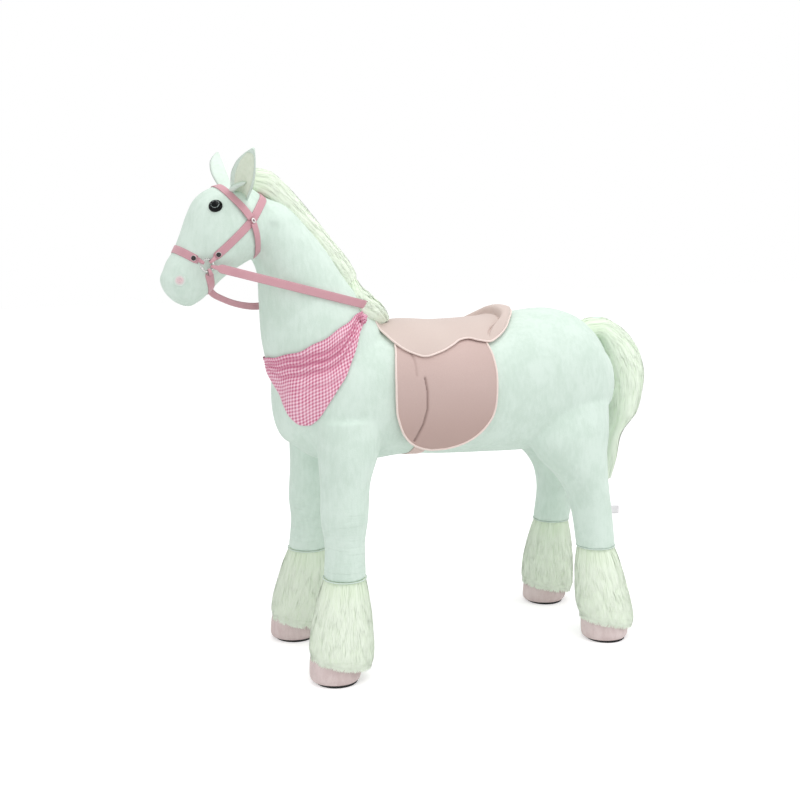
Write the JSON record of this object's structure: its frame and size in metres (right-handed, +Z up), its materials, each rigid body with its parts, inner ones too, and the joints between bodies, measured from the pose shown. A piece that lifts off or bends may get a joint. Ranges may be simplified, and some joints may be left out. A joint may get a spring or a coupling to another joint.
{
  "type": "plush ride-on pony",
  "caption": "Standing plush pony to ride on, with a padded saddle and hanging flaps, a bridle with reins, a neckerchief, a combed mane and tail, and padded hooves.",
  "frame": {"origin": "on the floor, under the middle of the pony", "axes": "+Z up, -X towards the muzzle, -Y towards the pony's left side"},
  "size_m": [1.1617, 0.405, 1.1229],
  "materials": {
    "white_plush": "short plush pile",
    "cream_long_fur": "long combed fur",
    "ear_plush": "short plush pile",
    "pale_pink_plush": "short plush pile",
    "pink_suede": "matt suede cloth",
    "pink_webbing": "satin band",
    "pink_cotton": "woven gingham",
    "black_glass": "polished",
    "black_snap": "satin",
    "white_snap": "satin",
    "nickel_steel": "nickel plated",
    "grey_painted_steel": "powder coat",
    "black_rubber": "matt",
    "plywood": "sanded",
    "white_plastic": "moulded",
    "white_satin": "satin"
  },
  "bodies": {
    "pony": {"browband": "pink_webbing", "cheek_snap_left": "black_snap", "cheek_snap_right": "black_snap", "chin_strap": "pink_webbing", "crossing_stud_left": "white_snap", "crossing_stud_right": "white_snap", "ear_left": "ear_plush", "ear_right": "ear_plush", "eye_left": "black_glass", "eye_right": "black_glass", "eye_washer_left": "white_plastic", "eye_washer_right": "white_plastic", "frame_cross_front": "grey_painted_steel", "frame_cross_rear": "grey_painted_steel", "frame_leg_front_left": "grey_painted_steel", "frame_leg_front_right": "grey_painted_steel", "frame_leg_rear_left": "grey_painted_steel", "frame_leg_rear_right": "grey_painted_steel", "frame_spine": "grey_painted_steel", "fur_cuff_front_left": "cream_long_fur", "fur_cuff_front_right": "cream_long_fur", "fur_cuff_rear_left": "cream_long_fur", "fur_cuff_rear_right": "cream_long_fur", "girth_strap": "pink_webbing", "head_plush": "white_plush", "headpiece_strap": "pink_webbing", "hoof_front_left": "pale_pink_plush", "hoof_front_right": "pale_pink_plush", "hoof_rear_left": "pale_pink_plush", "hoof_rear_right": "pale_pink_plush", "kerchief": "pink_cotton", "kerchief_knot": "pink_cotton", "leg_front_left": "white_plush", "leg_front_right": "white_plush", "leg_rear_left": "white_plush", "leg_rear_right": "white_plush", "mane": "cream_long_fur", "neck_plush": "white_plush", "neck_post": "grey_painted_steel", "noseband": "pink_webbing", "noseband_snap_left": "black_snap", "noseband_snap_right": "black_snap", "saddle_seat": "pink_suede", "seat_board": "plywood", "sewn_tag": "white_satin", "sole_front_left": "black_rubber", "sole_front_right": "black_rubber", "sole_rear_left": "black_rubber", "sole_rear_right": "black_rubber", "tail_dock": "white_plush", "throat_latch": "pink_webbing", "torso_plush": "white_plush"},
    "bridle_ring_left": {"bridle_ring_left": "nickel_steel"},
    "bridle_ring_right": {"bridle_ring_right": "nickel_steel"},
    "reins": {"reins": "pink_webbing"},
    "saddle_flap_left": {"saddle_flap_left": "pink_suede"},
    "saddle_flap_right": {"saddle_flap_right": "pink_suede"},
    "tail": {"tail_hair": "cream_long_fur"}
  },
  "joints": [
    {"name": "reins_lift", "type": "hinge", "parent": "pony", "child": "reins", "pos_m": [-0.50214, 0, 0.89307], "axis": [0, -1, 0], "range_deg": [0, 10]},
    {"name": "ring_left_turn", "type": "hinge", "parent": "pony", "child": "bridle_ring_left", "pos_m": [-0.50214, -0.07844, 0.89307], "axis": [0, 1, 0], "continuous": true},
    {"name": "ring_right_turn", "type": "hinge", "parent": "pony", "child": "bridle_ring_right", "pos_m": [-0.50214, 0.07844, 0.89307], "axis": [0, 1, 0], "continuous": true},
    {"name": "flap_left_lift", "type": "hinge", "parent": "pony", "child": "saddle_flap_left", "pos_m": [-0.11435, -0.13602, 0.68382], "axis": [-1, 0, 0], "range_deg": [0, 60]},
    {"name": "flap_right_lift", "type": "hinge", "parent": "pony", "child": "saddle_flap_right", "pos_m": [-0.11435, 0.13602, 0.68382], "axis": [1, 0, 0], "range_deg": [0, 60]},
    {"name": "tail_swing", "type": "hinge", "parent": "pony", "child": "tail", "pos_m": [0.47764, 0, 0.73489], "axis": [0.9781, 0, 0.2079], "range_deg": [-20, 20]}
  ]
}
